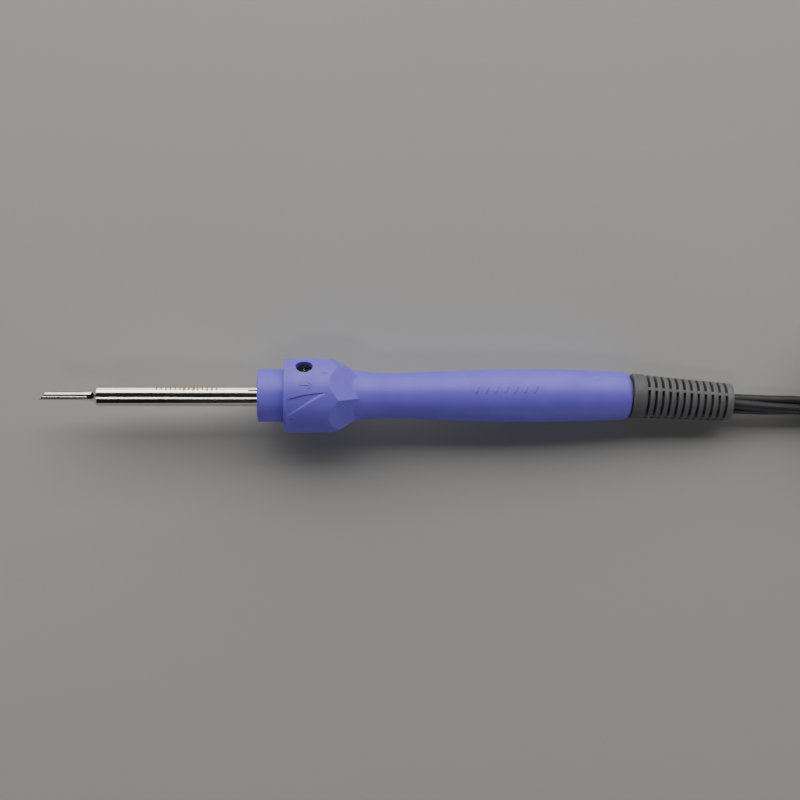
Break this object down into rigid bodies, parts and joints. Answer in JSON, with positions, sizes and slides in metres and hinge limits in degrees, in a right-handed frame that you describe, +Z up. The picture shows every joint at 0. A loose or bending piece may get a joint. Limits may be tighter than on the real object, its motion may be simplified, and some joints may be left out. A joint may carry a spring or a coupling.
{
  "type": "soldering iron",
  "caption": "Slim pencil soldering iron: a long steel tip held by a clamp screw in a moulded handle, with a slotted strain relief and a three-wire mains lead folded into a tied hank.",
  "frame": {"origin": "on the surface the iron lies on, under the middle of the iron without its lead: halfway between the tip's point and the strain relief's rear end", "axes": "+X along the iron from the tip towards the lead, +Z up; the iron's own axis leans by 2.6 degrees in the XZ plane, tip up, because it rests on its collar and on its strain relief"},
  "size_m": [0.4454, 0.0414, 0.0241],
  "materials": {
    "iron_plate": "satin iron plating",
    "stainless": "polished stainless tube",
    "ceramic": "matt steatite",
    "resistance_wire": "dull alloy wire",
    "mica": "silvery mica wrap",
    "sheath_steel": "heat-darkened steel",
    "nickel": "nickel wire",
    "glass_fibre": "braided glass-fibre sleeving",
    "brass": "turned brass",
    "shrink_tube": "heat-shrink tubing",
    "handle_plastic": "satin moulded thermoplastic",
    "black_screw": "black oxide",
    "copper": "bare copper strands",
    "wire_rubber": "silicone rubber insulation",
    "relief_rubber": "moulded grey rubber",
    "grip_steel": "crimped ring",
    "tie_tape": "hook-and-loop tape",
    "plug_pvc": "moulded PVC",
    "plug_brass": "plated brass"
  },
  "bodies": {
    "handle": {"heater_core": "ceramic", "heater_winding": "resistance_wire", "mica_wrap": "mica", "heater_sheath": "sheath_steel", "heater_seat": "ceramic", "heater_leads": "nickel", "lead_sleeves": "glass_fibre", "splice_ferrules": "brass", "splice_covers": "shrink_tube", "nose": "handle_plastic", "clamp_block": "brass", "earth_lug": "brass", "earth_ferrule": "brass", "handle": "handle_plastic", "wire_insulation": "wire_rubber", "wire_cores": "copper", "cord_grip": "grip_steel", "strain_relief": "relief_rubber", "cord_run": "wire_rubber", "cord_hank": "wire_rubber", "cord_tie": "tie_tape", "cord_tail": "wire_rubber", "plug_boot": "plug_pvc", "plug_body": "plug_pvc", "plug_blades": "plug_brass", "plug_earth_pin": "plug_brass"},
    "tip": {"tip_bit": "iron_plate", "tip_tube": "stainless"},
    "clamp_screw": {"clamp_screw": "black_screw"}
  },
  "joints": [
    {"name": "tip_slide", "type": "slide", "parent": "handle", "child": "tip", "axis": [-0.999, 0, 0.0449], "range_m": [0, 0.06]},
    {"name": "clamp_screw_turn", "type": "hinge", "parent": "handle", "child": "clamp_screw", "pos_m": [-0.02261, 0.00622, 0.01532], "axis": [0.0282, 0.7771, 0.6287], "range_deg": [0, 540]}
  ]
}
